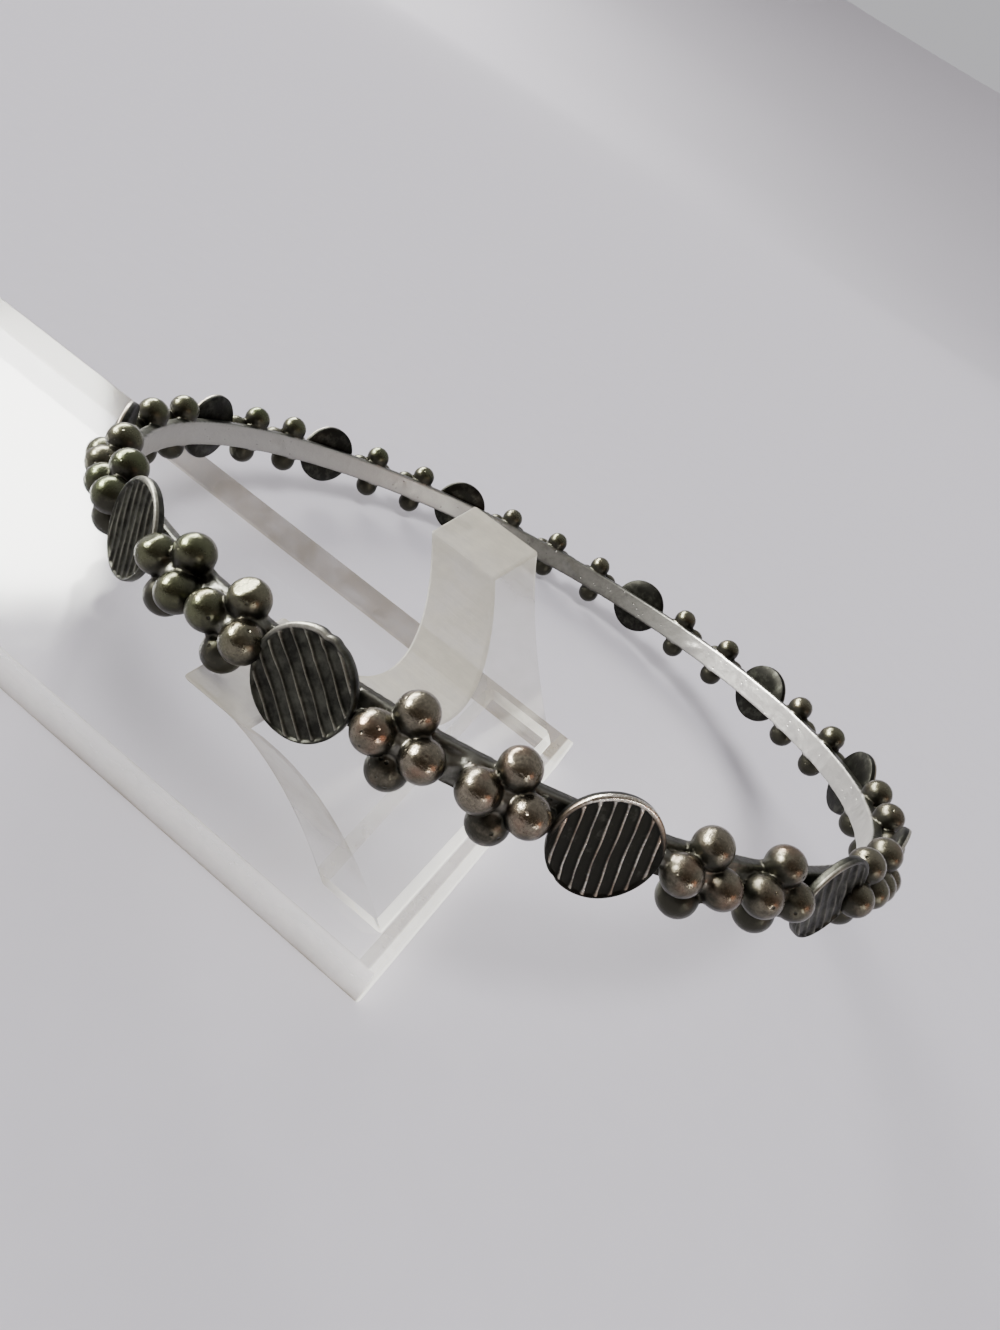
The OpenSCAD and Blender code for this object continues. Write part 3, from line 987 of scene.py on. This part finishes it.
# %% [markdown]
# ## Floor and light
# The floor is a wide pale dish whose rim rises far away, so that a view from above ends in one soft tone; a
# low view sees the room over the rim. The room on the camera's side is dark. Two large windows low at the
# left, a small glint and a warm panel are there only as mirror images on the metal and the acrylic. A
# ceiling on the camera's side and a side window light only what is dull, so that the floor stays evenly
# pale and the bangle's shadow soft.

# %% The floor
FLOOR_TONE, FLOOR_PALER = (0.72, 0.70, 0.76, 1), (0.75, 0.73, 0.79, 1)


def floor_finish():
    """Dull and pale, clouded so faintly that it looks even."""
    f = Finish(bpy.data.materials.new("pale floor"))
    clouds = f.noise(f.place(), 3, 3)
    return f.done(f.node("ShaderNodeBsdfPrincipled", None, {
        "Base Color": f.mix(clouds, FLOOR_TONE, FLOOR_PALER),
        "Roughness": 0.7,
        "Specular IOR Level": 0.0}))


# Radius and height of the rings of the dish, in metres; it lies a hair under the object
FLOOR_RINGS = ((0.0, 0.0), (0.3, 0.0), (1.0, 0.0), (2.6, 0.0), (3.4, 0.1), (4.2, 0.4), (5.0, 0.9))
FLOOR_STEPS = 64
FLOOR_DROP = 0.00002
floor_points = [(0, 0, -FLOOR_DROP)]
for radius, height in FLOOR_RINGS[1:]:
    floor_points += [(radius * math.cos(a), radius * math.sin(a), height - FLOOR_DROP)
                     for a in (2 * math.pi * i / FLOOR_STEPS for i in range(FLOOR_STEPS))]
floor_faces = [(0, 1 + i, 1 + (i + 1) % FLOOR_STEPS) for i in range(FLOOR_STEPS)]
for ring in range(len(FLOOR_RINGS) - 2):
    a, b = 1 + ring * FLOOR_STEPS, 1 + (ring + 1) * FLOOR_STEPS
    floor_faces += [(a + i, b + i, b + (i + 1) % FLOOR_STEPS, a + (i + 1) % FLOOR_STEPS)
                    for i in range(FLOOR_STEPS)]
floor_mesh = mesh_from("floor", floor_points, floor_faces)
floor_mesh.materials.append(floor_finish())
floor_mesh.shade_smooth()
floor = bpy.data.objects.new("floor", floor_mesh)
bpy.context.collection.objects.link(floor)
print("floor radius, m:", FLOOR_RINGS[-1][0])

# %% The lights
WINDOW_TINT = (1.0, 0.985, 0.96)


def area_light(name, azimuth, elevation, distance, width, height, radiance, colour,
               mirrored=True, lights_dull=True):
    """A soft panel that faces the bangle; it may light only what is dull, or show only as a mirror image."""
    data = bpy.data.lights.new(name, "AREA")
    data.shape = "RECTANGLE"
    data.size, data.size_y = width, height
    data.energy = radiance * math.pi * width * height
    data.color = colour
    lamp = bpy.data.objects.new(name, data)
    bpy.context.collection.objects.link(lamp)
    around, up = math.radians(azimuth), math.radians(elevation)
    direction = Vector((math.cos(around) * math.cos(up), math.sin(around) * math.cos(up), math.sin(up)))
    lamp.location = RING_MIDDLE * MM + direction * distance
    lamp.rotation_euler = direction.to_track_quat("Z", "Y").to_euler()
    lamp.visible_camera, lamp.visible_glossy, lamp.visible_diffuse = False, mirrored, lights_dull


area_light("window", 198, 29, 4.2, 1.7, 0.85, 102.0, WINDOW_TINT, lights_dull=False)
area_light("ceiling", -60, 66, 4.2, 1.5, 1.5, 16.0, (1.0, 0.99, 1.0), mirrored=False)
area_light("wide window", 156, 32, 4.2, 3.2, 1.25, 34.0, WINDOW_TINT, lights_dull=False)
area_light("side window", 140, 27, 4.2, 1.6, 1.9, 14.0, WINDOW_TINT, mirrored=False)
area_light("glint", -33, 6, 1.0, 0.10, 0.09, 50.0, (1.0, 0.98, 0.95), lights_dull=False)
area_light("warm side", -16, 13, 4.2, 1.5, 1.3, 1.8, (1.0, 0.50, 0.36), lights_dull=False)

# %% The tone of the room
# The way to the dark side, where the dark begins and is full, and the place of the dot product's output
DARK_SIDE, DARK_FROM, DARK_TO = (0.24, -0.95, -0.10), -0.35, 0.65
DOT_OUT = 1
ROOM_PALE, ROOM_DARK = (0.55, 0.545, 0.57, 1), (0.15, 0.122, 0.10, 1)
world = bpy.data.worlds.new("room")
bpy.context.scene.world = world
sky = Finish(world, "ShaderNodeOutputWorld")
toward = sky.node("ShaderNodeTexCoord", out=GENERATED_OUT)
across = sky.node("ShaderNodeVectorMath", {"operation": "DOT_PRODUCT"}, {0: toward, 1: DARK_SIDE},
                  out=DOT_OUT)
tone = sky.mix(across.over(DARK_FROM, DARK_TO), ROOM_PALE, ROOM_DARK)
sky.done(sky.node("ShaderNodeBackground", None, {"Color": tone, "Strength": 1.0}))
print("room:", world.name)
